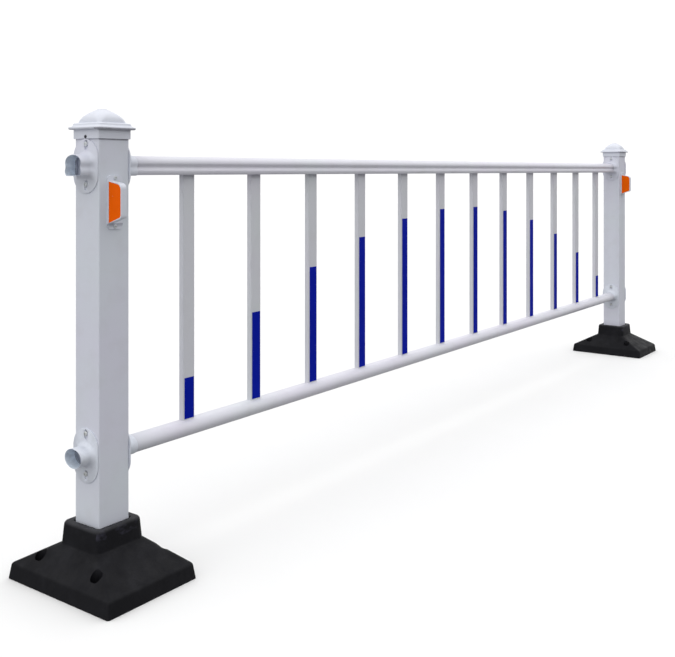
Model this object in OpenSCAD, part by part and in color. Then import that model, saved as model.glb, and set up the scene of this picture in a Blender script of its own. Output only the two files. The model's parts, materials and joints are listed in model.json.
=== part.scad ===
// Free-standing road guardrail section: two socketed bases, a panel of two posts, two rails
// and upright bars that lifts out of the sockets, cups for the next section, reflectors.
// X runs along the fence, -Y is the traffic side, Z is up; the origin is on the ground midway
// between the two bases.

/* [Panel] */
// Distance between the centres of the two posts
post_spacing = 3080; // [2960:10:3400]
// Height of the centre of the top rail
top_rail_z = 898; // [860:1:898]
// Height of the centre of the bottom rail
bottom_rail_z = 273; // [240:1:330]
// Distance between the centres of neighbouring bars
picket_pitch = 235; // [120:1:242]

/* [Posts] */
// Outer side of the square post
post_size = 80; // [78:1:80]
// Wall thickness of the post
post_wall = 2; // [1.5:0.5:3]
// Height of the upper end of the post
post_top_z = 976; // [972:1:978]

/* [Rails] */
// Width of the top rail at its lower bead
top_rail_w = 52; // [46:1:54]
// Height of the top rail
top_rail_h = 43; // [38:1:45]
// Width of the oval bottom rail
bottom_rail_w = 53; // [46:1:56]
// Height of the oval bottom rail
bottom_rail_h = 39.5; // [36:0.5:43]
// Wall thickness of both rails
rail_wall = 1.5; // [1:0.1:2]

/* [Bars] */
// Width of a bar along the fence
picket_w = 38; // [30:1:42]
// Depth of a bar across the fence
picket_d = 16; // [12:1:18]
// Width of the blue strip on a bar
strip_w = 30; // [20:1:30]
// Height of the lower end of the strips
strip_bottom_z = 295; // [294:1:320]
// Height of the arc of strip tops at the middle of the panel
strip_crown_z = 757; // [700:1:820]
// Radius of the arc of strip tops
strip_arc_r = 2475; // [2400:5:6000]

/* [Connectors] */
// Width of the connector flange
flange_w = 82; // [70:1:84]
// Height of the connector flange
flange_h = 117; // [112:1:118]
// How far a cup stands out from the post
cup_reach = 36; // [32:1:44]
// How far the outer lower cups sit above the rail line
outer_lower_lift = 6; // [0:0.5:7]

/* [Bases] */
// Length of the base foot along the fence
base_len = 238; // [230:1:260]
// Width of the base foot across the fence
base_wide = 336; // [320:1:360]
// Height of the upright edge of the foot
base_edge_h = 33; // [25:1:36]
// Height where the slopes meet the collar
base_slope_z = 85; // [80:1:90]
// Height of the collar's rim
base_rim_z = 131; // [126:1:140]
// Side of the square collar at its foot
collar_size = 127; // [124:1:130]
// Distance between anchor slots along the fence
slot_spacing_x = 176; // [172:1:178]
// Distance between anchor slots across the fence
slot_spacing_y = 186; // [180:1:200]

/* [Reflectors] */
// How far the reflector stands out from the post
reflector_reach = 44; // [38:1:48]
// Thickness of the reflector body along the fence
reflector_t = 15; // [12:1:18]
// Height of the middle of the reflector
reflector_z = 819; // [790:1:824]

/* [Hidden] */

$fn = 48;
hull_fn = 32;            // roundness of the children of a hull
eps = 0.01;              // overlap that keeps joined solids one piece
fit = 0.3;               // gap between pieces that slide into each other
picket_count = 12;

left = -1;
right = 1;
post_x = post_spacing / 2;
post_r = 3;
post_bottom_z = 12;
socket_gap = 0.5;

// Cap, from the skirt's lower edge to the crown
cap_skirt_z = 955;
cap_brim_z = 975;
cap_tier_z = 981;
cap_dome_z = 990;
cap_top_z = 1020;
cap_skirt = 87;
cap_brim = 106;
cap_tier = 92;
cap_dome = 76;
cap_crown_flat = 22;
cap_wall = 2.2;
cap_screw_z = 959.5;
dome_steps = 7;

// Sections
cup_wall = 1.1;
cup_fit = 0.2;
rail_groove = 4.6;       // depth of the groove along each side of the handrail
cup_groove = 2;          // depth of the same groove in the cups
flange_t = 3;
flange_offset = 2;       // the flange sits this far off the cup's axis, to one side
flange_drop = 2;         // and this far below it
flare_grow = 8;
flare_len = 11;
inner_flare_grow = 7;
inner_flare_len = 9;
rail_gap = 6;            // between the rail's end and the post
picket_r = 4;
picket_wall = 1.2;
strip_t = 0.5;

// Fasteners
screw_r = 2.5;
screw_hole_r = 2.7;
screw_len = 10;
screw_head_r = 5.5;
screw_head_h = 3;
slot_r = 5;
slot_h = 21;
slot_offset = 43;        // slot centres above and below the cup's axis
screw_offset = 2.5;      // where the screw sits in its slot
lock_screw_r = 2;
lock_screw_in = 12;      // from the cup's mouth

// Base details
base_taper = 4.5;
base_corner_r = 6;
collar_top = 120;
collar_corner_r = 16;
base_wall = 9;
rib_t = 8;
anchor_hole_r = 6.5;
anchor_slot_len = 22;
anchor_floor = 14;
recess_r = 10;
recess_len = 28;
boss_wall = 6;

// Reflector outline, measured from its middle height
reflector_x = -18;       // the traffic-facing sheet, from the post's axis
reflector_foot_half = 58;
reflector_foot_w = 40;
reflector_foot_lap = 2;  // the foot reaches this far past the sheet
reflector_foot_t = 3;
reflector_root_half = 46;
reflector_tip_top = 41;
reflector_tip_low = 35;
reflector_corner_r = 13;
reflector_low_corner_r = 8;
sheet_t = 0.6;
sheet_margin = 1.6;      // rim of the body around each sheet
sheet_recess = 0.2;
sheet_gap = 0.1;

top_rail_inner = [top_rail_w - 2 * rail_wall, top_rail_h - 2 * rail_wall];
bottom_rail_inner = [bottom_rail_w - 2 * rail_wall, bottom_rail_h - 2 * rail_wall];
picket_bottom_z = bottom_rail_z - bottom_rail_inner[1] / 2 * 0.92;
picket_top_z = top_rail_z + top_rail_h / 4;

// A square or rectangle with round corners
module rounded_rect(w, d, r) {
    square([w - 2 * r, d], center = true);
    square([w, d - 2 * r], center = true);
    for (x = [-1, 1], y = [-1, 1])
        translate([x * (w / 2 - r), y * (d / 2 - r)]) circle(r);
}

// An upright slot with round ends
module stadium(w, h) {
    square([w, h - w], center = true);
    for (s = [-1, 1]) translate([0, s * (h - w) / 2]) circle(w / 2);
}

// Right half of the handrail section, from the crown down: arch, groove of depth dip, bead, flat
// underside
function handrail_half(w, h, dip) =
    let (arch = w / 2 - 0.5, groove = w / 2 - dip, bead = w / 2,
         arch_z = 0.12 * h, groove_z = -0.08 * h, bead_z = -0.29 * h)
    concat(
        [for (a = [90:-9:9]) [arch * cos(a), arch_z + (h / 2 - arch_z) * sin(a)]],
        [for (t = [0:0.2:0.8])
            [groove + (arch - groove) * (1 + cos(180 * t)) / 2, arch_z + (groove_z - arch_z) * t]],
        [for (t = [0:0.2:0.8])
            [groove + (bead - groove) * (1 - cos(180 * t)) / 2, groove_z + (bead_z - groove_z) * t]],
        [for (a = [0:15:90])
            [bead - 6 * (1 - cos(a)), bead_z - (h / 2 + bead_z) * sin(a)]]
    );

function mirror_x(points) = [for (i = [len(points) - 1:-1:1]) [-points[i][0], points[i][1]]];

module handrail_section(w, h, dip) {
    half = handrail_half(w, h, dip);
    polygon(concat(half, mirror_x(half)));
}

module oval_section(w, h) {
    polygon([for (a = [0:7.5:352.5]) [w / 2 * cos(a), h / 2 * sin(a)]]);
}

// The section of the upper or lower rail, grown evenly by grow on every side
module rail_section(upper, grow, dip = rail_groove) {
    if (upper) handrail_section(top_rail_w + 2 * grow, top_rail_h + 2 * grow, dip);
    else oval_section(bottom_rail_w + 2 * grow, bottom_rail_h + 2 * grow);
}

// The same section as pressed into a cup, with a shallower groove
module cup_section(upper, grow) {
    rail_section(upper, grow, cup_groove);
}

// Extrudes a section drawn in the YZ plane along +X
module along_x(length) {
    rotate([90, 0, 90]) linear_extrude(length) children();
}

// Pan head screw with a cross recess; the head sits on z = 0 and the shank points down
module pan_screw(head_r, head_h, shank_r, length) {
    color("silver") difference() {
        union() {
            rotate_extrude() polygon(concat(
                [[0, 0]],
                [for (a = [0:15:90]) [head_r - head_h * 0.8 * (1 - cos(a)), head_h * sin(a)]],
                [[0, head_h]]
            ));
            translate([0, 0, -length]) cylinder(r = shank_r, h = length + eps);
        }
        for (a = [0, 90]) rotate(a)
            translate([0, 0, head_h]) cube([head_r, 1.2, head_h], center = true);
    }
}

// ---- Bases ----

module corner_posts(length, wide, r, z, h, shrink) {
    for (x = [-1, 1], y = [-1, 1])
        translate([x * (length / 2 - r), y * (wide / 2 - r), z])
            cylinder(r1 = r, r2 = r - shrink, h = h, $fn = hull_fn);
}

// Foot, slopes and collar of a base; inset makes the hollow below them
module base_form(inset) {
    foot_l = base_len - 2 * inset;
    foot_w = base_wide - 2 * inset;
    edge_l = foot_l - 2 * base_taper;
    edge_w = foot_w - 2 * base_taper;
    neck = collar_size + 2 - 2 * inset;
    hull() {
        corner_posts(foot_l, foot_w, base_corner_r, -inset, eps, 0);
        corner_posts(edge_l, edge_w, base_corner_r, base_edge_h - inset, eps, 0);
    }
    hull() {
        corner_posts(edge_l, edge_w, base_corner_r, base_edge_h - inset - eps, eps, 0);
        corner_posts(neck, neck, base_corner_r, base_slope_z - inset, eps, 0);
    }
}

module collar_form() {
    hull() {
        corner_posts(collar_size, collar_size, collar_corner_r, base_edge_h, eps, 0);
        corner_posts(collar_size, collar_size, collar_corner_r, base_slope_z, eps, 0);
        corner_posts(collar_top + 2, collar_top + 2, collar_corner_r, base_rim_z - 6, 4, 1);
        corner_posts(collar_top, collar_top, collar_corner_r, base_rim_z - 3, 3, 3);
    }
}

module anchor_places() {
    for (x = [-1, 1], y = [-1, 1])
        translate([x * slot_spacing_x / 2, y * slot_spacing_y / 2]) children();
}

module anchor_bosses() {
    anchor_places() linear_extrude(base_rim_z)
        square([2 * (recess_r + boss_wall), recess_len + 2 * boss_wall], center = true);
}

module anchor_slots() {
    anchor_places() {
        translate([0, 0, -1]) linear_extrude(anchor_floor + 2)
            stadium(2 * anchor_hole_r, anchor_slot_len);
        translate([0, 0, anchor_floor]) linear_extrude(base_rim_z)
            stadium(2 * recess_r, recess_len);
    }
}

module base_ribs() {
    for (a = [0, 90]) rotate(a)
        translate([0, 0, base_rim_z / 2])
            cube([2 * base_wide, rib_t, base_rim_z], center = true);
}

module socket_block() {
    translate([0, 0, base_rim_z / 2])
        cube([post_size + 2 * base_wall, post_size + 2 * base_wall, base_rim_z], center = true);
}

module base(side) {
    translate([side * post_x, 0, 0]) color([0.12, 0.12, 0.13]) difference() {
        union() {
            base_form(0);
            collar_form();
        }
        difference() {
            base_form(base_wall);
            socket_block();
            base_ribs();
            anchor_bosses();
        }
        anchor_slots();
        translate([0, 0, post_bottom_z])
            linear_extrude(base_rim_z)
                rounded_rect(post_size + 2 * socket_gap, post_size + 2 * socket_gap, post_r);
    }
}

// ---- Posts and caps ----

// Places children at every connector screw of a post, the screw's axis along the fence
module connector_screw_places(side, faces) {
    for (face = faces, upper = [true, false], s = [-1, 1])
        translate([side * post_x, 0, connector_z(side, face, upper) + s * slot_offset + screw_offset])
            rotate([0, face * 90, 0]) translate([0, 0, post_size / 2]) children();
}

module cap_screw_place(side) {
    translate([side * (post_x + cap_skirt / 2), 0, cap_screw_z])
        rotate([0, side * 90, 0]) children();
}

module reflector_screw_places(side) {
    for (s = [-1, 1])
        translate([side * post_x + reflector_x + reflector_foot_w / 2 - reflector_foot_lap,
                   -post_size / 2 - reflector_foot_t, reflector_z + s * (reflector_foot_half - 6)])
            rotate([90, 0, 0]) children();
}

module screw_hole(r) {
    translate([0, 0, -screw_len - 4]) cylinder(r = r, h = screw_len + 8);
}

module post(side) {
    inside = post_size - 2 * post_wall;
    color([0.87, 0.87, 0.90]) difference() {
        translate([side * post_x, 0, post_bottom_z]) linear_extrude(post_top_z - post_bottom_z)
            difference() {
                rounded_rect(post_size, post_size, post_r);
                rounded_rect(inside, inside, post_r - 1);
            }
        connector_screw_places(side, [-1, 1]) screw_hole(screw_hole_r);
        cap_screw_place(side) screw_hole(screw_hole_r);
        reflector_screw_places(side) screw_hole(screw_hole_r);
    }
}

// Dome that turns from a square with round corners at its foot to a round crown
module dome(size, foot_z, top_z) {
    hull() for (i = [0:dome_steps]) {
        t = i / dome_steps;
        half = (cap_crown_flat + (size - cap_crown_flat) * (1 - pow(t, 2.5))) / 2;
        corner_posts(2 * half, 2 * half, half * (0.26 + 0.74 * t), foot_z + (top_z - foot_z) * t, eps, 0);
    }
}

module cap(side) {
    cavity = cap_skirt - 2 * cap_wall;
    color([0.88, 0.88, 0.91]) difference() {
        translate([side * post_x, 0, 0]) difference() {
            union() {
                translate([0, 0, cap_skirt_z]) linear_extrude(cap_brim_z - cap_skirt_z + eps)
                    rounded_rect(cap_skirt, cap_skirt, post_r + 1);
                hull() {
                    corner_posts(cap_brim - 3, cap_brim - 3, 8, cap_brim_z, 0.5, 0);
                    corner_posts(cap_brim, cap_brim, 9, cap_brim_z + 1.5, 2.5, 0);
                    corner_posts(cap_brim - 3, cap_brim - 3, 8, cap_tier_z - 0.5, 0.5, 0);
                }
                hull() {
                    corner_posts(cap_tier + 4, cap_tier + 4, 8, cap_tier_z - eps, eps, 0);
                    corner_posts(cap_tier, cap_tier, 8, cap_tier_z + 3, 3, 0);
                    corner_posts(cap_tier - 4, cap_tier - 4, 8, cap_dome_z - 1, 1, 0);
                }
                dome(cap_dome, cap_dome_z - 1, cap_top_z - eps);
            }
            translate([0, 0, cap_skirt_z - 1]) linear_extrude(post_top_z + 2 - cap_skirt_z)
                rounded_rect(cavity, cavity, post_r);
            dome(cap_dome - 6, post_top_z, cap_top_z - 3);
        }
        cap_screw_place(side) screw_hole(screw_hole_r);
    }
}

module cap_screw(side) {
    cap_screw_place(side) pan_screw(3.6, 2.2, screw_r, screw_len - 2);
}

// ---- Rails and bars ----

module picket_places(first, last) {
    for (i = [first:last])
        translate([(i - (picket_count + 1) / 2) * picket_pitch, 0, 0]) children();
}

module lock_screw_places(ends) {
    for (e = ends, upper = [true, false])
        translate([e * (post_x - post_size / 2 - cup_reach + lock_screw_in), 0,
                   (upper ? top_rail_z - top_rail_h / 2 : bottom_rail_z - bottom_rail_h / 2)
                   - cup_fit - cup_wall])
            rotate([180, 0, 0]) children();
}

module rail(upper) {
    length = post_spacing - post_size - 2 * rail_gap;
    z = upper ? top_rail_z : bottom_rail_z;
    inner_z = upper ? z - top_rail_h : z;
    color([0.89, 0.89, 0.92]) difference() {
        translate([-length / 2, 0, z]) difference() {
            along_x(length) rail_section(upper, 0);
            translate([-1, 0, 0]) along_x(length + 2) rail_section(upper, -rail_wall);
        }
        picket_places(1, picket_count) translate([0, 0, inner_z])
            linear_extrude(upper ? top_rail_h : bottom_rail_h)
                rounded_rect(picket_w + 2 * fit, picket_d + 2 * fit, picket_r);
        lock_screw_places([left, right]) screw_hole(lock_screw_r + fit);
    }
}

module picket(i) {
    picket_places(i, i) translate([0, 0, picket_bottom_z]) color([0.86, 0.86, 0.89])
        linear_extrude(picket_top_z - picket_bottom_z) difference() {
            rounded_rect(picket_w, picket_d, picket_r);
            rounded_rect(picket_w - 2 * picket_wall, picket_d - 2 * picket_wall,
                         picket_r - picket_wall);
        }
}

// Height of the arc of strip tops at a distance x from the middle
function strip_top(x) = strip_crown_z - strip_arc_r + sqrt(strip_arc_r * strip_arc_r - x * x);

module blue_strip(i) {
    height = strip_top((i - (picket_count + 1) / 2) * picket_pitch) - strip_bottom_z;
    picket_places(i, i) for (s = [-1, 1]) color([0.04, 0.12, 0.62])
        translate([-strip_w / 2, s * (picket_d + strip_t) / 2 - strip_t / 2, strip_bottom_z])
            cube([strip_w, strip_t, height]);
}

// ---- Connectors ----

// An outer connector faces away from the panel, an inner one faces the other post
function connector_z(side, face, upper) =
    upper ? top_rail_z : bottom_rail_z + (side == face ? outer_lower_lift : 0);

// Flange against the post, flare and cup; face is the direction along X that the cup points
module connector(side, face, upper) {
    z = connector_z(side, face, upper);
    grow = cup_fit + cup_wall;
    cup_tone = upper ? [0.88, 0.88, 0.91] : [0.84, 0.86, 0.88];
    color(cup_tone) translate([side * post_x + face * post_size / 2, 0, z])
        rotate(face == 1 ? 0 : 180) difference() {
            union() {
                translate([0, -flange_offset, -flange_drop])
                    along_x(flange_t) stadium(flange_w, flange_h);
                hull() {
                    translate([flange_t - 0.5, 0, 0]) along_x(0.5)
                        cup_section(upper, grow + flare_grow);
                    translate([flange_t + flare_len, 0, 0]) along_x(0.5)
                        cup_section(upper, grow - 0.3);
                }
                along_x(cup_reach) cup_section(upper, grow);
            }
            translate([-1, 0, 0]) along_x(cup_reach + 2) cup_section(upper, cup_fit);
            hull() {
                translate([-0.5, 0, 0]) along_x(0.5) cup_section(upper, cup_fit + inner_flare_grow);
                translate([inner_flare_len, 0, 0]) along_x(eps) cup_section(upper, cup_fit);
            }
            for (s = [-1, 1]) translate([-1, 0, s * slot_offset])
                along_x(flange_t + 20) stadium(2 * slot_r, slot_h);
            translate([cup_reach - lock_screw_in, 0, 0]) mirror([0, 0, 1])
                cylinder(r = lock_screw_r + fit, h = flange_h / 2);
        }
}

module connector_screws(side, face) {
    connector_screw_places(side, [face]) translate([0, 0, flange_t])
        pan_screw(screw_head_r, screw_head_h, screw_r, screw_len);
}

module rail_lock_screws() {
    lock_screw_places([left, right]) pan_screw(3.6, 2.2, lock_screw_r, 7);
}

// ---- Reflectors ----

// Side view of the reflector: Y away from the post, Z up, rounded outer corners; a margin shrinks
// it to the outline of a sheet, which starts clear of the foot
module reflector_outline(margin) {
    start = margin == 0 ? 0 : reflector_foot_t + margin / 2;
    reach = reflector_reach - margin;
    root = reflector_root_half - margin;
    top = reflector_tip_top - margin;
    low = reflector_tip_low - margin;
    corner = reflector_corner_r;
    low_corner = reflector_low_corner_r;
    polygon(concat(
        [[start, -root], [start, root]],
        [for (a = [80:-16:0]) [reach - corner * (1 - cos(a)), top - corner * (1 - sin(a))]],
        [for (a = [0:18:90])
            [reach - low_corner * (1 - cos(a)), low_corner * (1 - sin(a)) - low]]
    ));
}

module reflector_plate(margin, t) {
    rotate([90, 0, -90]) translate([0, 0, -t]) linear_extrude(t) reflector_outline(margin);
}

module reflector_body(side) {
    color([0.90, 0.90, 0.92]) difference() {
        translate([side * post_x + reflector_x, -post_size / 2, reflector_z]) difference() {
            union() {
                reflector_plate(0, reflector_t);
                translate([reflector_foot_w / 2 - reflector_foot_lap, 0, 0]) rotate([90, 0, 0])
                    linear_extrude(reflector_foot_t)
                        rounded_rect(reflector_foot_w, 2 * reflector_foot_half, 10);
            }
            for (x = [-1, reflector_t - sheet_t])
                translate([x, 0, 0]) reflector_plate(sheet_margin, sheet_t + 1);
        }
        reflector_screw_places(side) screw_hole(screw_hole_r);
    }
}

module reflector_sheets(side) {
    color([0.90, 0.36, 0.02])
        translate([side * post_x + reflector_x, -post_size / 2, reflector_z])
            for (x = [sheet_recess, reflector_t - sheet_t])
                translate([x, 0, 0])
                    reflector_plate(sheet_margin + sheet_gap, sheet_t - sheet_recess);
}

module reflector_screws(side) {
    reflector_screw_places(side) pan_screw(4.4, 2.6, screw_r, screw_len);
}

base(left);  // left_base
base(right);  // right_base
post(left);  // left_post
post(right);  // right_post
cap(left);  // left_cap
cap(right);  // right_cap
cap_screw(left);  // left_cap_screw
cap_screw(right);  // right_cap_screw
rail(true);  // top_rail
rail(false);  // bottom_rail
for (i = [1:picket_count]) {
    number = str(i < 10 ? "0" : "", i);
    picket(i);
    blue_strip(i);
}
for (side = [left, right], outer = [true, false]) {
    face = outer ? side : -side;
    place = str(side == left ? "left_" : "right_", outer ? "outer_" : "inner_");
    connector(side, face, true);
    connector(side, face, false);
    connector_screws(side, face);
}
rail_lock_screws();
reflector_body(left);  // left_reflector_body
reflector_body(right);  // right_reflector_body
reflector_sheets(left);  // left_reflector_sheets
reflector_sheets(right);  // right_reflector_sheets
reflector_screws(left);  // left_reflector_screws
reflector_screws(right);  // right_reflector_screws
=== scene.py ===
"""Road guardrail section: cast bases, steel posts with domed caps, a railing between cup
connectors, reflectors, and the studio that shows them.

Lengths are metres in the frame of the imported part: +X along the fence, -Y the traffic side."""
import json
import math

import bmesh
import bpy
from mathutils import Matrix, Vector


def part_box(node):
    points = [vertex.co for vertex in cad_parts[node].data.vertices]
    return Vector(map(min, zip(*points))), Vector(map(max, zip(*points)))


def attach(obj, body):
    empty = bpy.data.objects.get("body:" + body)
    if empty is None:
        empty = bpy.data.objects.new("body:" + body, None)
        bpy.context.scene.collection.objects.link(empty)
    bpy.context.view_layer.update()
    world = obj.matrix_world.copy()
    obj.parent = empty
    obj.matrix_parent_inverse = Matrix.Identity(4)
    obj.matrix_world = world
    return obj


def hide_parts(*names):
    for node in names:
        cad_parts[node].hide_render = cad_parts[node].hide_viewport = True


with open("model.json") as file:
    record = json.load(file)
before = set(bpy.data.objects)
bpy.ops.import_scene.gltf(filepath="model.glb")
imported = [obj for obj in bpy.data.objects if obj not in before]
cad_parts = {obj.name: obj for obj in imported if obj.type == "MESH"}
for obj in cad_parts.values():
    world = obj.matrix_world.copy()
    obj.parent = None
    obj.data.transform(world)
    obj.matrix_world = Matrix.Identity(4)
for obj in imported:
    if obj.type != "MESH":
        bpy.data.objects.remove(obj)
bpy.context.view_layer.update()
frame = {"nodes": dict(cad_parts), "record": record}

NODES = frame["nodes"]
SLOT_OF = {part["node"]: part["material_slot"] for part in frame["record"]["subparts"]}
MM = 0.001
SIDES = {"left": -1, "right": 1}


def box_centre(node):
    low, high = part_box(node)
    return (low + high) / 2


# Sizes and levels, most of them read off the CAD
POST_HALF = (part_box("left_post")[1].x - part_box("left_post")[0].x) / 2
BASE_RIM_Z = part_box("left_base")[1].z
CAP_FOOT_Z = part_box("left_cap")[0].z
CAP_BRIM_Z = 975 * MM
TOP_RAIL_UNDERSIDE_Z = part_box("top_rail")[0].z
REFLECTOR_ROOT_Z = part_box("left_reflector_body")[0].z + 12 * MM


# ---------------------------------------------------------------- mesh helpers

WELD_DISTANCE = 0.002 * MM


def link_object(name, mesh):
    made = bpy.data.objects.new(name, mesh)
    bpy.context.scene.collection.objects.link(made)
    return made


def add_piece(name, mesh, body, node, *finishes):
    """Links a mesh as a piece that rides on a body and stands for a CAD node, which it hides, with
    the finishes given.
    """
    piece = link_object(name, mesh)
    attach(piece, body)
    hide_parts(node)
    assign(piece, *finishes)
    return piece


def assign(obj, *finishes):
    """Gives an object its materials; the faces of a new piece keep the indices they have."""
    if obj.data.materials:
        obj.data.materials.clear()
    for finish in finishes:
        obj.data.materials.append(finish)


def to_mesh(bm, name, smooth_angle=35.0):
    """Closes a bmesh off: welds it, turns its faces outwards, shades it smooth up to an angle."""
    bmesh.ops.remove_doubles(bm, verts=bm.verts, dist=WELD_DISTANCE)
    bmesh.ops.recalc_face_normals(bm, faces=bm.faces)
    for face in bm.faces:
        face.smooth = True
    limit = math.radians(smooth_angle)
    for edge in bm.edges:
        edge.smooth = len(edge.link_faces) == 2 and edge.calc_face_angle(0) < limit
    mesh = bpy.data.meshes.new(name)
    bm.to_mesh(mesh)
    bm.free()
    return mesh


def loft(bm, rings, ends=(True, True), loop=False):
    """Skins rings that have the same number of points; gives back the faces of each span."""
    rows = [[bm.verts.new(point) for point in ring] for ring in rings]
    pairs = list(zip(rows, rows[1:])) + ([(rows[-1], rows[0])] if loop else [])
    spans = []
    for near, far in pairs:
        count = len(near)
        spans.append([bm.faces.new((near[i], near[(i + 1) % count], far[(i + 1) % count], far[i]))
                      for i in range(count)])
    if ends[0] and not loop:
        bm.faces.new(reversed(rows[0]))
    if ends[1] and not loop:
        bm.faces.new(rows[-1])
    return spans


def rounded_outline(half_x, half_y, radius, steps=8):
    """Points round a rectangle with round corners, as 2D pairs."""
    points = []
    for quarter, (sx, sy) in enumerate(((1, 1), (-1, 1), (-1, -1), (1, -1))):
        for step in range(steps + 1):
            angle = math.pi / 2 * (quarter + step / steps)
            points.append((sx * (half_x - radius) + radius * math.cos(angle),
                           sy * (half_y - radius) + radius * math.sin(angle)))
    return points


def stadium_outline(width, height, steps=12):
    """Points round an upright slot with round ends."""
    return rounded_outline(width / 2, height / 2, width / 2 - 0.01 * MM, steps)


def flat_ring(outline, origin, z):
    return [Vector((origin.x + x, origin.y + y, z)) for x, y in outline]


def prism(outline, place):
    """A closed solid between two copies of an outline; place(a, b, end) puts a point of an end,
    0 or 1."""
    bm = bmesh.new()
    loft(bm, [[place(a, b, end) for a, b in outline] for end in (0, 1)])
    return to_mesh(bm, "tool")


def box_mesh(low, high):
    corners = [(low[0], low[1]), (high[0], low[1]), (high[0], high[1]), (low[0], high[1])]
    return prism(corners, lambda x, y, end: Vector((x, y, high[2] if end else low[2])))


def carve(mesh, tools, operation="DIFFERENCE", smooth_angle=40.0):
    """Cuts the tools from a mesh, or joins them to it, with exact booleans."""
    name = mesh.name
    target = link_object("target", mesh)
    helpers = []
    for tool in tools:
        helper = link_object("tool", tool)
        helpers.append(helper)
        modifier = target.modifiers.new("cut", "BOOLEAN")
        modifier.operation = operation
        modifier.solver = "EXACT"
        modifier.object = helper
    evaluated = target.evaluated_get(bpy.context.evaluated_depsgraph_get())
    bm = bmesh.new()
    bm.from_mesh(evaluated.to_mesh())
    for spare in [target, *helpers]:
        data = spare.data
        bpy.data.objects.remove(spare)
        bpy.data.meshes.remove(data)
    return to_mesh(bm, name, smooth_angle)


def soften(piece, width, segments=2, angle=40.0):
    """Rounds a piece's sharp edges."""
    bevel = piece.modifiers.new("soft edges", "BEVEL")
    bevel.width = width
    bevel.segments = segments
    bevel.limit_method = "ANGLE"
    bevel.angle_limit = math.radians(angle)
    bevel.harden_normals = True


def between(a, b, t):
    return tuple(p + (q - p) * t for p, q in zip(a, b))


def fillet(start, corner, end, radius, steps=5):
    """Profile points that round the corner between two runs, using less than half of each."""
    a = between(corner, start, min(0.48, radius / math.dist(corner, start)))
    b = between(corner, end, min(0.48, radius / math.dist(corner, end)))
    return [between(between(a, corner, t), between(corner, b, t), t)
            for t in (i / steps for i in range(steps + 1))]


# ---------------------------------------------------------------- finishes

WHITE = (0.71, 0.735, 0.815)
RAIL_WHITE = (0.730, 0.727, 0.800)
BAR_WHITE = (0.695, 0.705, 0.755)
SCREW_WHITE = (0.68, 0.71, 0.73)
BLUE, BLUE_SEAM = (0.0005, 0.009, 0.385), (0.004, 0.022, 0.44)
ORANGE, ORANGE_SEAM = (0.93, 0.125, 0.0), (0.98, 0.20, 0.005)
# colour of the shade painted below overhanging edges
UNDER_EDGE_SHADE = (0.16, 0.15, 0.20)
LATTICE_SHIFT = 5.0  # metres, added so that every coordinate on the part is above zero
COLLAR_FRONT_Y, BAR_SHADE_FRONT_Y = -54 * MM, -6 * MM  # in front of these, the collar gets more rubs and painted reflection, the bars more painted shade
COLLAR_RUBS_AND_SHEEN = (92 * MM, 112 * MM)  # between these heights the rubs and painted reflection grow in number
UPPER_SCREWS_Z = 600 * MM  # between the screws of the lower and of the upper connectors


class Finish:
    """A principled material whose textures lie in the object's own space."""

    def __init__(self, name, **sockets):
        self.material = bpy.data.materials.new(name)
        self.material.use_nodes = True
        self.tree = self.material.node_tree
        self.shader = self.tree.nodes["Principled BSDF"]
        for socket, value in sockets.items():
            self.shader.inputs[socket.replace("_", " ")].default_value = value
        self.place = self.node("ShaderNodeTexCoord").outputs["Object"]

    def node(self, kind, **settings):
        made = self.tree.nodes.new(kind)
        for key, value in settings.items():
            setattr(made, key, value)
        return made

    def link(self, source, target):
        self.tree.links.new(source, target)

    def stretched(self, scale):
        mapping = self.node("ShaderNodeMapping")
        mapping.inputs["Scale"].default_value = scale
        self.link(self.place, mapping.inputs["Vector"])
        return mapping.outputs["Vector"]

    def noise(self, scale, detail=3.0, stretch=None):
        texture = self.node("ShaderNodeTexNoise")
        texture.inputs["Scale"].default_value = scale
        texture.inputs["Detail"].default_value = detail
        self.link(self.stretched(stretch) if stretch else self.place, texture.inputs["Vector"])
        return texture.outputs["Fac"]

    def along(self, axis):
        split = self.node("ShaderNodeSeparateXYZ")
        self.link(self.place, split.inputs[0])
        return split.outputs[axis]

    def cells(self, scale):
        texture = self.node("ShaderNodeTexVoronoi")
        texture.inputs["Scale"].default_value = scale
        self.link(self.place, texture.inputs["Vector"])
        return texture.outputs["Color"]

    def spread(self, source, low, high, start=0.3, end=0.7):
        """Maps the source's range start to end onto low to high."""
        node = self.node("ShaderNodeMapRange")
        for socket, value in zip(node.inputs[1:5], (start, end, low, high)):
            socket.default_value = value
        self.link(source, node.inputs[0])
        return node.outputs[0]

    def math(self, operation, a, b=0.0):
        node = self.node("ShaderNodeMath", operation=operation)
        for socket, value in zip(node.inputs, (a, b)):
            if isinstance(value, (int, float)):
                socket.default_value = value
            else:
                self.link(value, socket)
        return node.outputs[0]

    def mix(self, factor, a, b):
        node = self.node("ShaderNodeMix", data_type="RGBA")
        self.link(factor, node.inputs["Factor"])
        for socket, value in zip((node.inputs[6], node.inputs[7]), (a, b)):
            if isinstance(value, tuple):
                socket.default_value = (*value, 1)
            else:
                self.link(value, socket)
        return node.outputs[2]

    def bump(self, height, distance):
        node = self.node("ShaderNodeBump")
        node.inputs["Distance"].default_value = distance
        self.link(height, node.inputs["Height"])
        self.link(node.outputs["Normal"], self.shader.inputs["Normal"])

    def paint(self, colour, roughness):
        self.link(colour, self.shader.inputs["Base Color"])
        self.link(roughness, self.shader.inputs["Roughness"])
        return self.material


def shade(colour, factor):
    return tuple(channel * factor for channel in colour)


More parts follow.
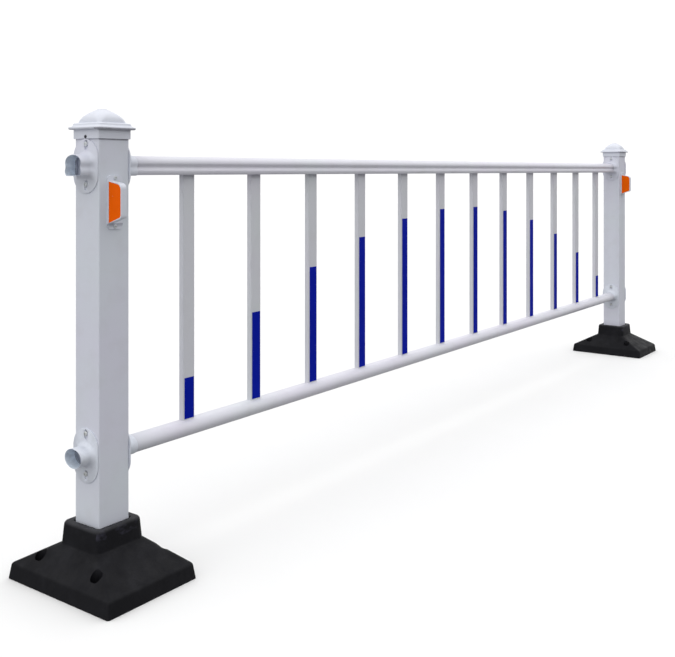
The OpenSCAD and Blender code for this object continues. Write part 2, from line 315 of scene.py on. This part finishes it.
def paint_shade_under_edge(finish, tone, top_z, height, strength, traffic_y=-0.97 * POST_HALF):
    """Paints shade into a band below an overhanging edge, strongest on the traffic side."""
    z = finish.along("Z")
    band = finish.math("MULTIPLY", finish.spread(z, 0, 1, top_z - height, top_z - height / 3),
                       finish.math("LESS_THAN", z, top_z + 0.5 * MM))
    traffic_side = finish.math("LESS_THAN", finish.along("Y"), traffic_y)
    weaker_side_shade = 0.35 * strength
    band = finish.math("MULTIPLY", band,
                       finish.spread(traffic_side, weaker_side_shade, strength, 0, 1))
    patchy = finish.math("MULTIPLY", band, finish.spread(finish.noise(90, 3), 0.7, 1.0))
    return finish.mix(patchy, tone, UNDER_EDGE_SHADE)


def powder_coat(name, colour, rough=0.42, grime=0.10, line=None):
    """Satin powder coat: orange peel, cloudy tone, faint grime, fine scuffs and tiny chips.

    A line is the (top_z, height, strength) of a band of painted shade below an overhanging edge,
    with its traffic_y if need be."""
    finish = Finish(name, Specular_IOR_Level=0.4)
    red, green, blue = colour
    tone = finish.mix(finish.spread(finish.noise(5, 4), 0, 1),
                      (red * 0.995, green * 0.97, blue * 1.0),
                      (red * 0.985, green * 1.01, blue * 0.985))
    dust = finish.spread(finish.noise(22, 6), 0, grime, 0.5, 0.75)
    tone = finish.mix(dust, tone, (0.42, 0.40, 0.38))
    scuffs = finish.spread(finish.noise(1, 2, (60, 60, 900)), 0, 0.22, 0.70, 0.78)
    tone = finish.mix(scuffs, tone, (0.50, 0.50, 0.53))
    chips = finish.spread(finish.noise(260, 2), 0, 0.5, 0.80, 0.83)
    tone = finish.mix(chips, tone, (0.30, 0.30, 0.32))
    # Painted shade below an overhanging edge, where a line is given.
    if line:
        tone = paint_shade_under_edge(finish, tone, *line)
    waves = finish.math("MULTIPLY", finish.noise(55, 2), 2.0)
    peel = finish.math("ADD", finish.noise(420, 2), waves)
    finish.bump(peel, 0.05 * MM)
    return finish.paint(tone, finish.spread(finish.noise(40, 3), rough - 0.05, rough + 0.08))


def moulded_plastic(name, colour, line=None):
    """Satin moulded plastic: very fine grain, faint flow marks and handling marks."""
    finish = Finish(name, Specular_IOR_Level=0.45)
    tone = finish.mix(finish.spread(finish.noise(9, 4), 0, 1), shade(colour, 0.97),
                      shade(colour, 1.01))
    marks = finish.spread(finish.noise(1, 3, (300, 90, 40)), 0, 0.12, 0.64, 0.74)
    tone = finish.mix(marks, tone, (0.45, 0.45, 0.48))
    # Painted shade below an overhanging edge, where a line is given.
    if line:
        tone = paint_shade_under_edge(finish, tone, *line)
    finish.bump(finish.noise(900, 2), 0.03 * MM)
    return finish.paint(tone, finish.spread(finish.noise(70, 3), 0.34, 0.48))


def zinc_coat(name, colour, spangle, metallic=0.35):
    """Bright zinc: patchy crystals of slightly different tone over a metal."""
    finish = Finish(name, Metallic=metallic)
    crystals = finish.spread(finish.cells(160), 0, 1, 0, 1)
    tone = finish.mix(crystals, shade(colour, 1 - spangle), shade(colour, 1 + spangle / 2))
    bloom = finish.spread(finish.noise(60, 5), 0, 0.30, 0.5, 0.7)
    tone = finish.mix(bloom, tone, shade(colour, 0.72))
    finish.bump(finish.math("ADD", finish.noise(300, 3), crystals), 0.03 * MM)
    return finish.paint(tone, finish.spread(crystals, 0.34, 0.50, 0, 1))


def black_casting(name):
    """Matte black paint over a sand casting: grainy skin, dust, grey rubs with painted reflection
    on the collar, and a rim lightened by dust and a painted highlight.
    """
    finish = Finish(name, Specular_IOR_Level=0.16)
    tone = finish.mix(finish.spread(finish.noise(14, 5), 0, 1), (0.0048, 0.0049, 0.0068),
                      (0.0082, 0.0084, 0.0112))
    dust = finish.spread(finish.noise(30, 8), 0, 0.12, 0.54, 0.74)
    tone = finish.mix(dust, tone, (0.040, 0.041, 0.050))
    height = finish.along("Z")
    # Pale bluish rubs, more on the collar's traffic face: partly wear, partly painted reflection.
    traffic_side = finish.math("LESS_THAN", finish.along("Y"), COLLAR_FRONT_Y)
    on_collar = finish.math("MULTIPLY", finish.spread(height, 0, 0.26, *COLLAR_RUBS_AND_SHEEN),
                            traffic_side)
    rubs_and_sheen = finish.math("ADD", finish.noise(1, 4, (40, 50, 70)), on_collar)
    rubs_and_sheen = finish.spread(rubs_and_sheen, 0, 0.5, 0.76, 0.92)
    tone = finish.mix(rubs_and_sheen, tone, (0.060, 0.058, 0.088))
    # The rim is lightened towards its top: partly dust, partly a painted highlight on its rounding.
    near_rim = finish.spread(height, 0, 0.55, BASE_RIM_Z - 6 * MM, BASE_RIM_Z)
    rim_dust_and_highlight = finish.math("MULTIPLY", near_rim, finish.spread(finish.noise(30, 3), 0.5, 1.0))
    tone = finish.mix(rim_dust_and_highlight, tone, (0.075, 0.075, 0.083))
    lumps = finish.math("MULTIPLY", finish.noise(150, 4), 1.6)
    grain = finish.math("ADD", finish.noise(700, 4), lumps)
    finish.bump(grain, 0.22 * MM)
    return finish.paint(tone, finish.spread(finish.noise(35, 4), 0.50, 0.72))


def reflective_sheet(name, colour, seam_colour, across, cell=3.2 * MM):
    """Prismatic reflective film: a diamond lattice of cells with pale seams, and a few nicks.

    The lattice lies in the plane of Z and the axis named across."""
    finish = Finish(name, Specular_IOR_Level=0.04)
    u = finish.math("ADD", finish.along(across), finish.along("Z"))
    v = finish.math("SUBTRACT", finish.along(across), finish.along("Z"))
    folds = [finish.math("PINGPONG", finish.math("ADD", side, LATTICE_SHIFT), cell / 2)
             for side in (u, v)]
    seam_distance = finish.math("MINIMUM", *folds)
    seams = finish.spread(seam_distance, 1, 0, 0, 0.22 * MM)
    tone = finish.mix(finish.spread(finish.noise(12, 3), 0, 1), shade(colour, 0.92),
                      shade(colour, 1.06))
    tone = finish.mix(finish.math("MULTIPLY", seams, 0.5), tone, seam_colour)
    nicks = finish.spread(finish.noise(110, 3), 0, 1, 0.755, 0.77)
    tone = finish.mix(nicks, tone, (0.62, 0.62, 0.66))
    finish.bump(seams, 0.06 * MM)
    return finish.paint(tone, finish.spread(finish.noise(50, 3), 0.50, 0.65))


def screw_steel(name, colour, rough=0.38, metallic=0.75, painted_above=None):
    """Plated steel with turning marks; screws above the given height are coated like the post."""
    finish = Finish(name, Metallic=metallic)
    tone = finish.mix(finish.spread(finish.noise(600, 4), 0, 1), shade(colour, 0.78),
                      shade(colour, 1.05))
    if painted_above is not None:
        painted = finish.math("GREATER_THAN", finish.along("Z"), painted_above)
        tone = finish.mix(painted, tone, SCREW_WHITE)
        finish.link(finish.spread(painted, metallic, 0, 0, 1), finish.shader.inputs["Metallic"])
    finish.bump(finish.noise(1500, 3), 0.02 * MM)
    return finish.paint(tone, finish.spread(finish.noise(400, 3), rough - 0.06, rough + 0.12))


GALVANISED = zinc_coat("galvanised_inside", (0.67, 0.74, 0.83), 0.14, 0.1)
# dark zinc that paints shade in a ring deep inside each cup
SHADE_RING_ZINC = zinc_coat("painted_shade_ring_inside", (0.10, 0.13, 0.17), 0.3, 0.1)
FINISHES = {
    # Each line paints shade below an overhanging edge: on the post below the cap, on the bars below
    # the top rail, on the cap below its brim and on the reflector foot below its body.
    "post_white": powder_coat("post_powder_coat", WHITE, line=(CAP_FOOT_Z, 4 * MM, 0.75)),
    "rail_white": powder_coat("rail_powder_coat", RAIL_WHITE, 0.36),
    "picket_white": powder_coat("bar_powder_coat", BAR_WHITE, 0.42, 0.08,
                                (TOP_RAIL_UNDERSIDE_Z, 12 * MM, 0.35, BAR_SHADE_FRONT_Y)),
    "cap_white": moulded_plastic("cap_plastic", shade(WHITE, 1.06),
                                 (CAP_BRIM_Z + 2.6 * MM, 7 * MM, 0.7)),
    "connector_white": powder_coat("connector_powder_coat", WHITE, 0.40, 0.06),
    "connector_zinc": zinc_coat("connector_bright_zinc", (0.715, 0.75, 0.83), 0.04, 0.06),
    "black_iron": black_casting("black_casting"),
    "reflective_blue": reflective_sheet("blue_film", BLUE, BLUE_SEAM, "X"),
    "reflective_orange": reflective_sheet("orange_sheet", ORANGE, ORANGE_SEAM, "Y"),
    "reflector_white": moulded_plastic("reflector_plastic", shade(WHITE, 1.03),
                                       (REFLECTOR_ROOT_Z, 9 * MM, 0.6)),
    "screw_steel": screw_steel("zinc_screw", (0.66, 0.68, 0.68), metallic=0.4,
                               painted_above=UPPER_SCREWS_Z),
}
DARK_SCREW = screw_steel("dark_screw", (0.07, 0.07, 0.085), 0.45)
WHITE_SCREW = screw_steel("coated_screw", SCREW_WHITE, 0.40, 0.0)


# ---------------------------------------------------------------- bases

BASE_EDGE_H = 33 * MM
BASE_SLOPE_Z = 85 * MM
BASE_TAPER = 4.5 * MM
BASE_CORNER = 6 * MM
COLLAR_FOOT = 64 * MM
COLLAR_RIM = 60.5 * MM
COLLAR_CORNER = 16 * MM
SOCKET_FLOOR_Z = 12 * MM
SOCKET_GAP = 0.5 * MM
CAST_WALL = 9 * MM
ANCHOR_X, ANCHOR_Y = 88 * MM, 93 * MM
ANCHOR_FLOOR_Z = 14 * MM
RECESS_W, RECESS_L = 20 * MM, 28 * MM
BOLT_SLOT_W, BOLT_SLOT_L = 13 * MM, 22 * MM
BOLT_SLOT_HEIGHTS = (-10 * MM, 50 * MM)  # from below the foot into the recess
UNDER_BASE, OVER_BASE = -50 * MM, 200 * MM  # clear of the casting


def base_profile():
    """Rows of (half x, half y, corner radius, z) from the ground up, over the rim and down into
    the socket."""
    low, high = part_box("left_base")
    foot_x, foot_y = (high.x - low.x) / 2, (high.y - low.y) / 2
    ground = (foot_x - 1.2 * MM, foot_y - 1.2 * MM, BASE_CORNER, 0)
    foot = (foot_x, foot_y, BASE_CORNER, 1.5 * MM)
    edge = (foot_x - BASE_TAPER, foot_y - BASE_TAPER, BASE_CORNER, BASE_EDGE_H)
    neck = (COLLAR_FOOT, COLLAR_FOOT, COLLAR_CORNER, BASE_SLOPE_Z)
    rim = (COLLAR_RIM, COLLAR_RIM, COLLAR_CORNER, BASE_RIM_Z)
    lip = (POST_HALF + 5 * MM, POST_HALF + 5 * MM, 6 * MM, BASE_RIM_Z)
    groove = (POST_HALF + 2 * MM, POST_HALF + 2 * MM, 4 * MM, BASE_RIM_Z - 4 * MM)
    mouth = (POST_HALF + SOCKET_GAP, POST_HALF + SOCKET_GAP, 3 * MM, BASE_RIM_Z - 6 * MM)
    return [ground, foot, *fillet(foot, edge, neck, 4.5 * MM, 6),
            *fillet(edge, neck, rim, 3 * MM, 4), *fillet(neck, rim, lip, 8 * MM, 8),
            *fillet(rim, lip, groove, 2 * MM, 4), mouth, (*mouth[:3], SOCKET_FLOOR_Z)]


def base_cavity(origin, foot_x, foot_y):
    """The hollow under the base, clear of its socket block, anchor bosses and ribs."""
    bm = bmesh.new()
    profile = [
        (foot_x, foot_y, -CAST_WALL),
        (foot_x - BASE_TAPER, foot_y - BASE_TAPER, BASE_EDGE_H - CAST_WALL),
        (COLLAR_FOOT - CAST_WALL, COLLAR_FOOT - CAST_WALL, BASE_SLOPE_Z - CAST_WALL),
    ]
    loft(bm, [flat_ring(rounded_outline(x, y, BASE_CORNER), origin, z) for x, y, z in profile])
    cavity = to_mesh(bm, "cavity")
    block, rib, boss_wall = POST_HALF + CAST_WALL, 4 * MM, 6 * MM
    solids = [(0, 0, block, block), (0, 0, rib, 2 * foot_y), (0, 0, 2 * foot_x, rib)]
    solids += [(sx * ANCHOR_X, sy * ANCHOR_Y, RECESS_W / 2 + boss_wall, RECESS_L / 2 + boss_wall)
               for sx in (-1, 1) for sy in (-1, 1)]
    return carve(cavity, [
        box_mesh((origin.x + x - half_x, y - half_y, UNDER_BASE),
                 (origin.x + x + half_x, y + half_y, OVER_BASE))
        for x, y, half_x, half_y in solids])


def anchor_tools(origin):
    """Recesses in the slopes and the bolt slots below them."""
    cuts = ((RECESS_W, RECESS_L, (ANCHOR_FLOOR_Z, OVER_BASE)),
            (BOLT_SLOT_W, BOLT_SLOT_L, BOLT_SLOT_HEIGHTS))
    tools = []
    for sx in (-1, 1):
        for sy in (-1, 1):
            centre = Vector((origin.x + sx * ANCHOR_X, sy * ANCHOR_Y, 0))
            for width, length, heights in cuts:
                tools.append(prism(stadium_outline(width, length),
                                   lambda x, y, end: centre + Vector((x, y, heights[end]))))
    return tools


def make_base(side_name):
    node = f"{side_name}_base"
    low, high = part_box(node)
    origin = box_centre(node)
    bm = bmesh.new()
    loft(bm, [flat_ring(rounded_outline(x, y, r, 10), origin, z) for x, y, r, z in base_profile()])
    cavity = base_cavity(origin, (high.x - low.x) / 2 - CAST_WALL, (high.y - low.y) / 2 - CAST_WALL)
    mesh = carve(to_mesh(bm, f"{node}_casting"), [cavity, *anchor_tools(origin)])
    soften(add_piece(f"{node}_casting", mesh, "bases", node, FINISHES["black_iron"]), 0.8 * MM)


# ---------------------------------------------------------------- caps

CAP_TIER_Z = 981 * MM
CAP_DOME_Z = 990 * MM
CAP_SKIRT = 43.5 * MM
CAP_TIER = 46 * MM
CAP_COVE = 3 * MM
CAP_DOME = 38 * MM
CAP_CROWN = 11 * MM
CAP_WALL = 2.2 * MM
CAP_CEILING_Z = 978 * MM


def cap_profile():
    """Rows of (half width, corner radius, z) from the ceiling inside, down and round the skirt,
    up to the crown."""
    low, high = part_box("left_cap")
    brim_half = (high.y - low.y) / 2
    inside = CAP_SKIRT - CAP_WALL
    skirt_low = (CAP_SKIRT, 4 * MM, low.z)
    skirt_high = (CAP_SKIRT, 4 * MM, CAP_BRIM_Z)
    brim_low = (brim_half - 0.4 * MM, 9 * MM, CAP_BRIM_Z)
    brim_high = (brim_half, 9 * MM, CAP_TIER_Z - 0.4 * MM)
    cove = (CAP_TIER + CAP_COVE, 8 * MM, CAP_TIER_Z)
    tier_low = (CAP_TIER, 8 * MM, CAP_TIER_Z + CAP_COVE)
    tier_high = (CAP_TIER - 1 * MM, 8 * MM, CAP_DOME_Z - 1 * MM)
    dome_low = (CAP_DOME, 10 * MM, CAP_DOME_Z - 1 * MM)
    rows = [(inside, 3 * MM, CAP_CEILING_Z), (inside, 3 * MM, low.z + 0.4 * MM)]
    rows += fillet((inside, 3 * MM, low.z), skirt_low, skirt_high, 0.6 * MM, 3)
    rows += fillet(skirt_low, skirt_high, brim_low, 1.2 * MM, 3)
    rows += fillet(skirt_high, brim_low, brim_high, 2.6 * MM, 5)
    rows += fillet(brim_low, brim_high, cove, 2.6 * MM, 5)
    rows += fillet(brim_high, cove, tier_low, 1.6 * MM, 4)
    rows += fillet(cove, tier_low, tier_high, 1.6 * MM, 4)
    rows += fillet(tier_low, tier_high, dome_low, 3.5 * MM, 5)
    steps = 16
    for step in range(steps + 1):
        t = step / steps
        half = CAP_CROWN + (CAP_DOME - CAP_CROWN) * (1 - t ** 2.5)
        rows.append((half, half * (0.26 + 0.74 * t) - 0.01 * MM,
                     CAP_DOME_Z + (high.z - 0.9 * MM - CAP_DOME_Z) * t))
    rows += [(CAP_CROWN - 0.3 * MM, CAP_CROWN - 0.4 * MM, high.z - 0.2 * MM),
             (CAP_CROWN - 1 * MM, CAP_CROWN - 1.1 * MM, high.z)]
    return rows


def make_cap(side_name):
    node = f"{side_name}_cap"
    origin = box_centre(node)
    bm = bmesh.new()
    loft(bm, [flat_ring(rounded_outline(half, half, radius, 10), origin, z)
              for half, radius, z in cap_profile()])
    add_piece(f"{side_name}_post_cap", to_mesh(bm, f"{side_name}_post_cap", 50), "panel", node,
              FINISHES["cap_white"])


# ---------------------------------------------------------------- rails and cups

TOP_RAIL = (52 * MM, 43 * MM)
BOTTOM_RAIL = (53 * MM, 39.5 * MM)
RAIL_WALL = 1.5 * MM
FLANGE_W, FLANGE_H, FLANGE_T = 82 * MM, 117 * MM, 3 * MM
FLANGE_OFFSET, FLANGE_DROP = 2 * MM, 2 * MM
CUP_FIT, CUP_WALL = 0.2 * MM, 1.1 * MM
RAIL_GROOVE, CUP_GROOVE = 4.6 * MM, 2 * MM
FLARE_GROW, FLARE_LEN = 8 * MM, 11 * MM
THROAT_GROW, THROAT_LEN = 7.6 * MM, 6.5 * MM
SLOT_W, SLOT_H, SLOT_OFFSET = 10 * MM, 21 * MM, 43 * MM
SLOT_EASE = 1.0 * MM
STOP_FAR = 10.7 * MM  # where the ring of painted shade at the foot of a cup begins
# Heights above the middle, as shares of the whole height: the foot of the arch, the deepest line
# of the groove and the widest line of the bead
ARCH_SHARE, GROOVE_SHARE, BEAD_SHARE = 0.12, -0.08, -0.29
BEAD_CORNER = 6 * MM


def handrail_outline(width, height, dip):
    """Handrail section: arched top, a groove of depth dip along each side, a bead and a flat
    underside."""
    arch, groove, bead = width / 2 - 0.5 * MM, width / 2 - dip, width / 2
    arch_z, groove_z, bead_z = ARCH_SHARE * height, GROOVE_SHARE * height, BEAD_SHARE * height
    half = []
    for degrees in range(90, 0, -6):
        angle = math.radians(degrees)
        half.append((arch * math.cos(angle), arch_z + (height / 2 - arch_z) * math.sin(angle)))
    for i in range(8):
        t = i / 8
        half.append((groove + (arch - groove) * (1 + math.cos(math.pi * t)) / 2,
                     arch_z + (groove_z - arch_z) * t))
    for i in range(8):
        t = i / 8
        half.append((groove + (bead - groove) * (1 - math.cos(math.pi * t)) / 2,
                     groove_z + (bead_z - groove_z) * t))
    for degrees in range(0, 91, 15):
        angle = math.radians(degrees)
        half.append((bead - BEAD_CORNER * (1 - math.cos(angle)),
                     bead_z - (height / 2 + bead_z) * math.sin(angle)))
    half += [((bead - BEAD_CORNER) * (1 - i / 6), -height / 2) for i in range(1, 7)]
    return half + [(-y, z) for y, z in reversed(half[1:-1])]


def oval_outline(width, height, steps=64):
    angles = [2 * math.pi * i / steps for i in range(steps)]
    return [(width / 2 * math.sin(a), height / 2 * math.cos(a)) for a in angles]


def section_outline(upper, grow, dip=RAIL_GROOVE):
    """The section of the upper or lower rail, wider and higher by twice the growth."""
    width, height = TOP_RAIL if upper else BOTTOM_RAIL
    if upper:
        return handrail_outline(width + 2 * grow, height + 2 * grow, dip)
    return oval_outline(width + 2 * grow, height + 2 * grow)


def make_rail(node, name, upper):
    """A thin-walled tube with eased ends, as one closed skin."""
    low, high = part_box(node)
    centre = (low + high) / 2
    stations = 26
    ease = 0.4 * MM
    places = [low.x + (high.x - low.x) * i / stations for i in range(1, stations)]
    skin = [(low.x, -ease), (low.x + ease, 0), *((x, 0) for x in places), (high.x - ease, 0),
            (high.x, -ease)]
    skin += [(x, -RAIL_WALL - grow) for x, grow in reversed(skin)]
    bm = bmesh.new()
    loft(bm, [[Vector((x, centre.y + y, centre.z + z)) for y, z in section_outline(upper, grow)]
              for x, grow in skin], loop=True)
    add_piece(name, to_mesh(bm, name, 50), "panel", node, FINISHES["rail_white"])


def on_outline(outline, direction):
    """Where a ray from the origin crosses a closed outline that goes round the origin."""
    for (ax, ay), (bx, by) in zip(outline, outline[1:] + outline[:1]):
        side_a = direction[0] * ay - direction[1] * ax
        side_b = direction[0] * by - direction[1] * bx
        if side_a * side_b <= 0 and side_a != side_b:
            x, y = between((ax, ay), (bx, by), side_a / (side_a - side_b))
            if x * direction[0] + y * direction[1] > 0:
                return x, y
    return outline[0]


def make_connector(node, face, upper):
    """Flange, concave flare and hollow cup as one closed skin; face is its direction along X."""
    low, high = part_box(node)
    root_x = low.x if face > 0 else high.x
    reach = high.x - low.x
    centre_z = (low.z + high.z) / 2 + FLANGE_DROP
    cup_grow = CUP_FIT + CUP_WALL
    cup = section_outline(upper, 0, CUP_GROOVE)

    def place(x, y, z):
        return Vector((root_x + face * x, face * y, centre_z + z))

    def section_ring(x, grow):
        return [place(x, y, z) for y, z in section_outline(upper, grow, CUP_GROOVE)]

    def flange_ring(x, inset):
        outline = [(y - FLANGE_OFFSET, z - FLANGE_DROP) for y, z in stadium_outline(
            FLANGE_W - 2 * inset, FLANGE_H - 2 * inset, 24)]
        return [place(x, *on_outline(outline, point)) for point in cup]

    rings = [flange_ring(x, inset) for x, inset in (
        (0, 0.3 * MM), (0.3 * MM, 0), (FLANGE_T - 0.9 * MM, 0), (FLANGE_T - 0.3 * MM, 0.25 * MM),
        (FLANGE_T, 0.9 * MM))]
    flare_steps = 8
    for step in range(flare_steps + 1):
        t = step / flare_steps
        rings.append(section_ring(FLANGE_T + FLARE_LEN * t,
                                  cup_grow + FLARE_GROW * (1 - t) ** 2.2))
    rings += [section_ring(reach - 0.6 * MM, cup_grow), section_ring(reach, cup_grow - 0.35 * MM)]
    inside = [section_ring(reach, CUP_FIT + 0.35 * MM), section_ring(reach - 0.5 * MM, CUP_FIT),
              section_ring(STOP_FAR, CUP_FIT)]
    for t in (0, 0.25, 0.5, 0.75, 1):
        inside.append(section_ring(FLANGE_T + THROAT_LEN * (1 - t),
                                   CUP_FIT + THROAT_GROW * t ** 1.8))
    inside.append(section_ring(0, CUP_FIT + THROAT_GROW))
    bm = bmesh.new()
    spans = loft(bm, rings + inside, loop=True)
    # From the mouth inwards: the lip, two spans of galvanised wall, one ring of painted shade, the
    # throat
    linings = spans[len(rings) - 1:]
    for index, bands in ((1, linings[1:3]), (2, linings[3:4])):
        for band in bands:
            for lining in band:
                lining.material_index = index
    slots = []
    for s in (-1, 1):
        tool = bmesh.new()
        loft(tool, [[place(x, y, z + s * SLOT_OFFSET)
                     for y, z in stadium_outline(SLOT_W + 2 * ease, SLOT_H + 2 * ease)]
                    for x, ease in ((-10 * MM, 0), (FLANGE_T - SLOT_EASE, 0),
                                    (FLANGE_T + 0.1 * MM, SLOT_EASE + 0.1 * MM))])
        slots.append(to_mesh(tool, "slot"))
    mesh = to_mesh(bm, f"{node}_cup")
    add_piece(f"{node}_cup", carve(mesh, slots), "panel", node, FINISHES[SLOT_OF[node]], GALVANISED,
              SHADE_RING_ZINC)


# ---------------------------------------------------------------- reflectors

REFLECTOR_LAP = 2 * MM
REFLECTOR_T = 15 * MM
REFLECTOR_FOOT_T = 3 * MM
REFLECTOR_ROOT = 46 * MM
REFLECTOR_TIP_TOP, REFLECTOR_TIP_LOW = 41 * MM, 35 * MM
REFLECTOR_CORNER, REFLECTOR_LOW_CORNER = 13 * MM, 8 * MM
SHEET_MARGIN = 1.6 * MM
SHEET_DEPTH = 0.6 * MM
SHEET_RECESS = 0.2 * MM
SHEET_GAP = 0.1 * MM


def reflector_outline(reach, margin):
    """Side view of a reflector as (distance from the post, height from its middle)."""
    start = REFLECTOR_FOOT_T + margin / 2 if margin else 0
    reach, root = reach - margin, REFLECTOR_ROOT - margin
    top, low = REFLECTOR_TIP_TOP - margin, REFLECTOR_TIP_LOW - margin
    points = [(start, -root), (start, root)]
    for degrees in range(80, -1, -8):
        angle = math.radians(degrees)
        points.append((reach - REFLECTOR_CORNER * (1 - math.cos(angle)),
                       top - REFLECTOR_CORNER * (1 - math.sin(angle))))
    for degrees in range(0, 91, 10):
        angle = math.radians(degrees)
        points.append((reach - REFLECTOR_LOW_CORNER * (1 - math.cos(angle)),
                       REFLECTOR_LOW_CORNER * (1 - math.sin(angle)) - low))
    return points


def make_reflector(side_name):
    node = f"{side_name}_reflector_body"
    low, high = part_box(node)
    centre = (low + high) / 2
    front_x = low.x + REFLECTOR_LAP
    reach = high.y - low.y

    def slab(x_low, x_high, margin):
        ends = (x_low, x_high)
        return prism(reflector_outline(reach, margin),
                     lambda out, up, end: Vector((ends[end], high.y - out, centre.z + up)))

    foot = prism(rounded_outline((high.x - low.x) / 2, (high.z - low.z) / 2, 10 * MM),
                 lambda x, z, end: Vector((centre.x + x, high.y - REFLECTOR_FOOT_T * end,
                                           centre.z + z)))
    rear_x = front_x + REFLECTOR_T
    stations = ((front_x + SHEET_DEPTH, SHEET_MARGIN), (front_x, SHEET_MARGIN), (front_x, 0),
                (rear_x, 0), (rear_x, SHEET_MARGIN), (rear_x - SHEET_DEPTH, SHEET_MARGIN))
    bm = bmesh.new()
    loft(bm, [[Vector((x, high.y - out, centre.z + up))
               for out, up in reflector_outline(reach, margin)] for x, margin in stations])
    mesh = carve(to_mesh(bm, f"{side_name}_reflector_shell"), [foot], "UNION")
    piece = add_piece(f"{side_name}_reflector_shell", mesh, "panel", node,
                      FINISHES["reflector_white"])
    soften(piece, 0.5 * MM, 3, 30)

    margin = SHEET_MARGIN + SHEET_GAP
    front = slab(front_x + SHEET_RECESS, front_x + SHEET_DEPTH, margin)
    front.name = f"{side_name}_orange_sheets"
    sheets = carve(front, [slab(rear_x - SHEET_DEPTH, rear_x - SHEET_RECESS, margin)], "UNION")
    piece = add_piece(f"{side_name}_orange_sheets", sheets, "panel",
                      f"{side_name}_reflector_sheets", FINISHES["reflective_orange"])
    # The sheet throws light back to its source, so it tints its neighbours very little.
    piece.visible_diffuse = False
    soften(piece, 0.1 * MM, 2, 30)


# ---------------------------------------------------------------- studio

SKY_BELOW = 0.33
SKY_HORIZON = 0.65
SKY_RISE = 0.82
SKY_ENDS = 0.33
STAGE_RADIUS = 40.0


def make_camera():
    """Level view from beyond the left end of the fence, a little above the top rail's height."""
    data = bpy.data.cameras.new("camera")
    camera = link_object("camera", data)
    data.sensor_width = 36
    data.lens = 48.85
    data.shift_x = -0.052
    data.shift_y = -0.2343
    data.clip_start, data.clip_end = 0.05, 200
    camera.location = (-2.82775, -1.63013, 0.88723)
    camera.rotation_euler = (math.radians(90), 0, math.radians(-54.75))
    bpy.context.scene.camera = camera


def ring_of_points(radius, z, count=96):
    angles = [2 * math.pi * i / count for i in range(count)]
    return [Vector((radius * math.cos(a), radius * math.sin(a), z)) for a in angles]


def make_stage():
    """A white floor and a lit white wall far behind it, both kept out of the object's light."""
    paper = Finish("floor_paper", Specular_IOR_Level=0.0)
    tone = paper.mix(paper.spread(paper.noise(2, 2), 0, 1), (0.90, 0.90, 0.90), (0.91, 0.91, 0.91))
    paper.paint(tone, paper.spread(paper.noise(8, 2), 0.88, 0.94))
    glow = bpy.data.materials.new("lit_wall")
    glow.use_nodes = True
    shader = glow.node_tree.nodes["Principled BSDF"]
    shader.inputs["Base Color"].default_value = (0, 0, 0, 1)
    shader.inputs["Specular IOR Level"].default_value = 0
    shader.inputs["Emission Color"].default_value = (1, 1, 1, 1)
    shader.inputs["Emission Strength"].default_value = 1.05
    bm = bmesh.new()
    bm.faces.new([bm.verts.new(point) for point in ring_of_points(STAGE_RADIUS, 0)])
    floor = link_object("floor", to_mesh(bm, "floor"))
    wall_radius, wall_foot = STAGE_RADIUS - 0.1, -0.5
    bm = bmesh.new()
    loft(bm, [ring_of_points(wall_radius, z) for z in (wall_foot, STAGE_RADIUS)],
         ends=(False, False))
    wall = link_object("wall", to_mesh(bm, "wall"))
    for stage, material in ((floor, paper.material), (wall, glow)):
        assign(stage, material)
        stage.visible_diffuse = False
        stage.visible_glossy = False
        stage.visible_shadow = False


def make_sky():
    """Overcast surround: brightest overhead and towards the fence's two ends, dim below."""
    world = bpy.data.worlds.new("studio")
    bpy.context.scene.world = world
    world.use_nodes = True
    nodes, links = world.node_tree.nodes, world.node_tree.links
    split = nodes.new("ShaderNodeSeparateXYZ")
    links.new(nodes.new("ShaderNodeTexCoord").outputs["Generated"], split.inputs[0])

    def combine(operation, *values):
        node = nodes.new("ShaderNodeMath")
        node.operation = operation
        for socket, value in zip(node.inputs, values):
            if isinstance(value, float):
                socket.default_value = value
            else:
                links.new(value, socket)
        return node.outputs[0]

    x, y, z = split.outputs
    ends = combine("SUBTRACT", combine("MULTIPLY", x, x), combine("MULTIPLY", y, y))
    above = combine("MULTIPLY_ADD", combine("MAXIMUM", z, 0.0), SKY_RISE, SKY_HORIZON - SKY_BELOW)
    level = combine("MULTIPLY_ADD", combine("GREATER_THAN", z, 0.0), above, SKY_BELOW)
    level = combine("MULTIPLY_ADD", ends, SKY_ENDS, level)
    links.new(level, nodes["Background"].inputs["Strength"])
    nodes["Background"].inputs["Color"].default_value = (1, 1, 1, 1)


bpy.context.scene.view_settings.view_transform = "Standard"
make_camera()
make_stage()
make_sky()

SPECIAL_SCREWS = {"left_cap_screw": DARK_SCREW, "right_cap_screw": DARK_SCREW,
                  "left_reflector_screws": WHITE_SCREW, "right_reflector_screws": WHITE_SCREW}
for name, node in NODES.items():
    assign(node, SPECIAL_SCREWS.get(name) or FINISHES[SLOT_OF[name]])
for side_name, side in SIDES.items():
    make_base(side_name)
    make_cap(side_name)
    make_reflector(side_name)
    for place, face in (("outer", side), ("inner", -side)):
        for level in ("upper", "lower"):
            make_connector(f"{side_name}_{place}_{level}_connector", face, level == "upper")
make_rail("top_rail", "handrail", True)
make_rail("bottom_rail", "oval_rail", False)
